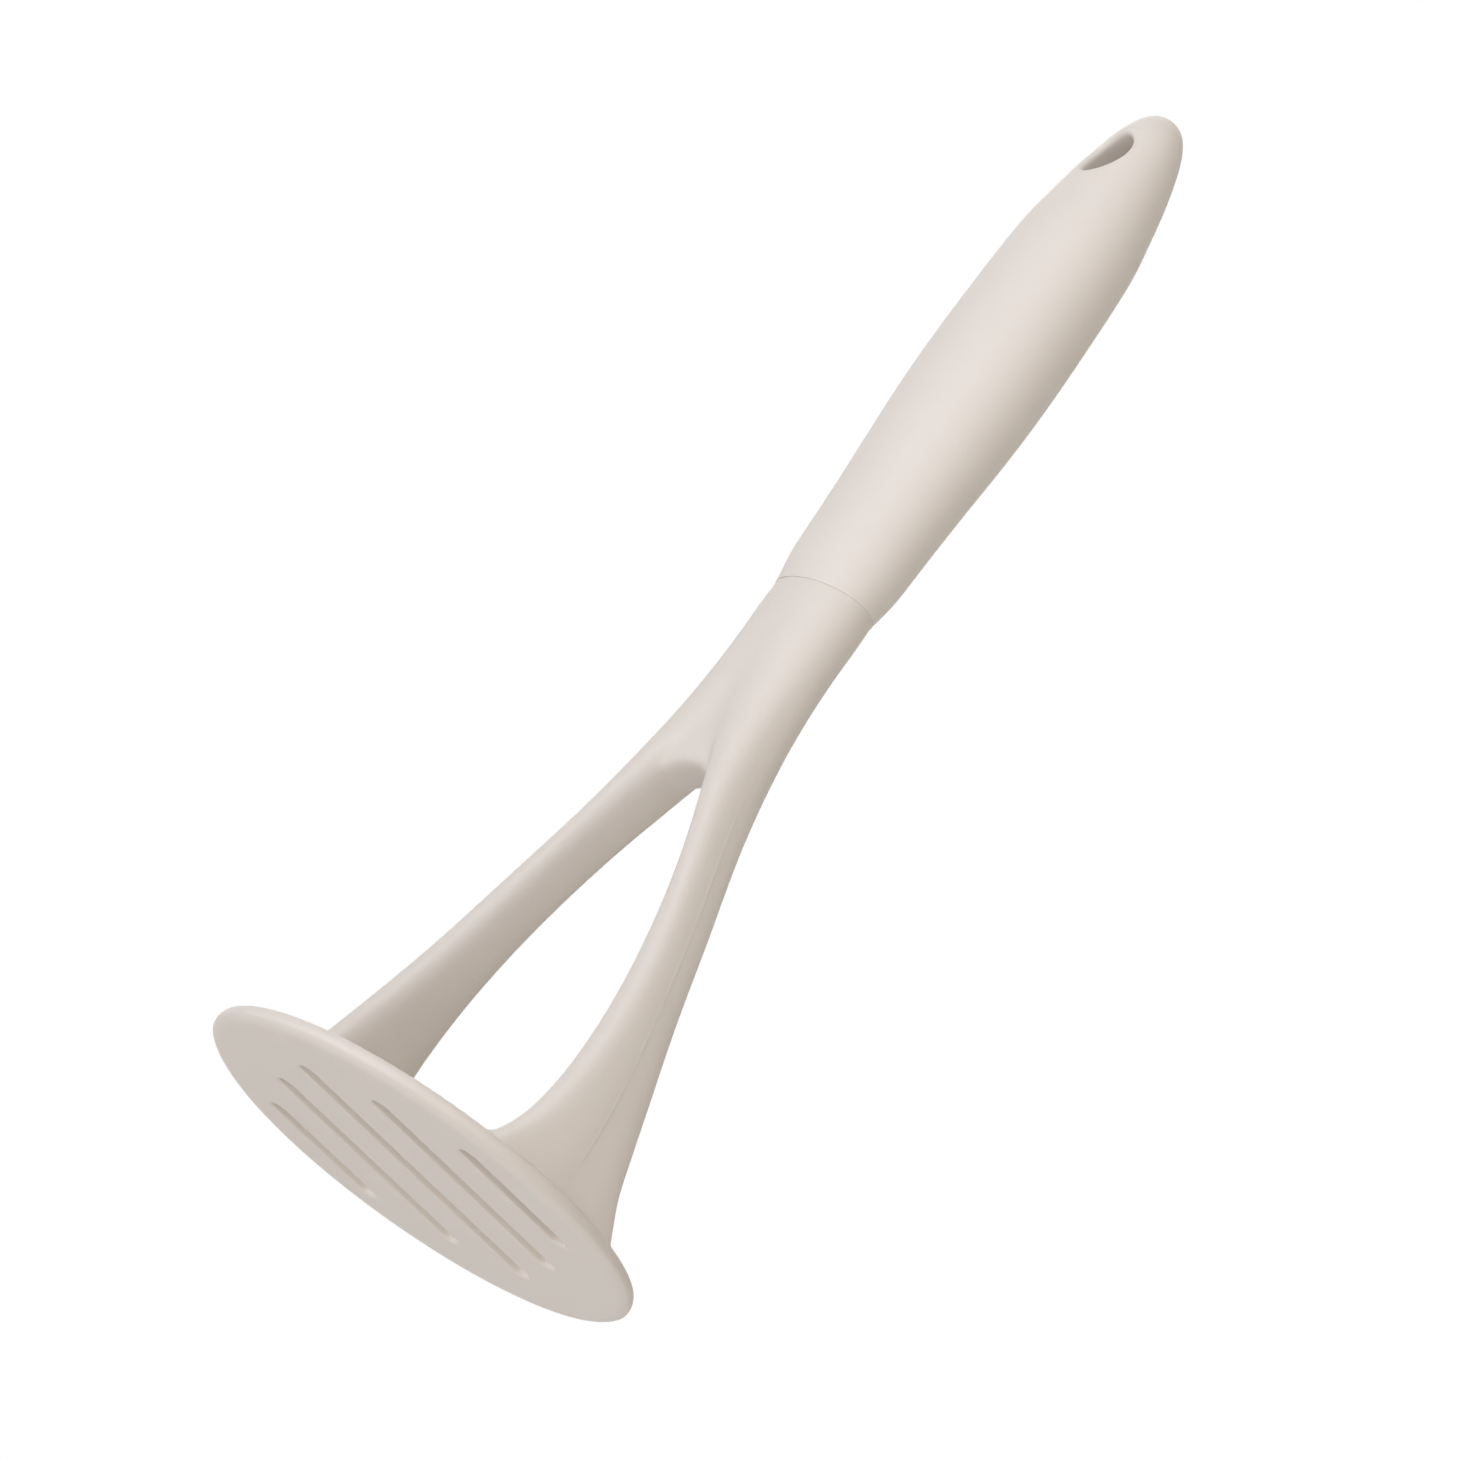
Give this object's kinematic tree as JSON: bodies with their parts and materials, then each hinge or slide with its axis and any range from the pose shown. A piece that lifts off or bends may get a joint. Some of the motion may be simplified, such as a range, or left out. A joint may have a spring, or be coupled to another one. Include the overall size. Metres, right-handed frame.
{
  "type": "potato masher",
  "caption": "Hand potato masher: slotted round plate on a forked neck, silicone skin over a stiff core, and an oval hollow handle with a hang hole.",
  "frame": {"origin": "centre of the plate's flat underside", "axes": "+Z from the plate up the handle to its tip, X across the two legs, Y along the slots and through the hang hole"},
  "size_m": [0.1, 0.1, 0.2813],
  "materials": {
    "head_silicone": "satin cream-grey silicone",
    "grip_silicone": "satin cream-grey silicone",
    "nylon_core": "matte glass-filled nylon",
    "handle_plastic": "matte moulded polypropylene"
  },
  "bodies": {
    "root": {"head_core": "nylon_core", "head_skin": "head_silicone", "grip_skin": "grip_silicone", "handle_core_front": "handle_plastic", "handle_core_back": "handle_plastic"}
  },
  "joints": []
}
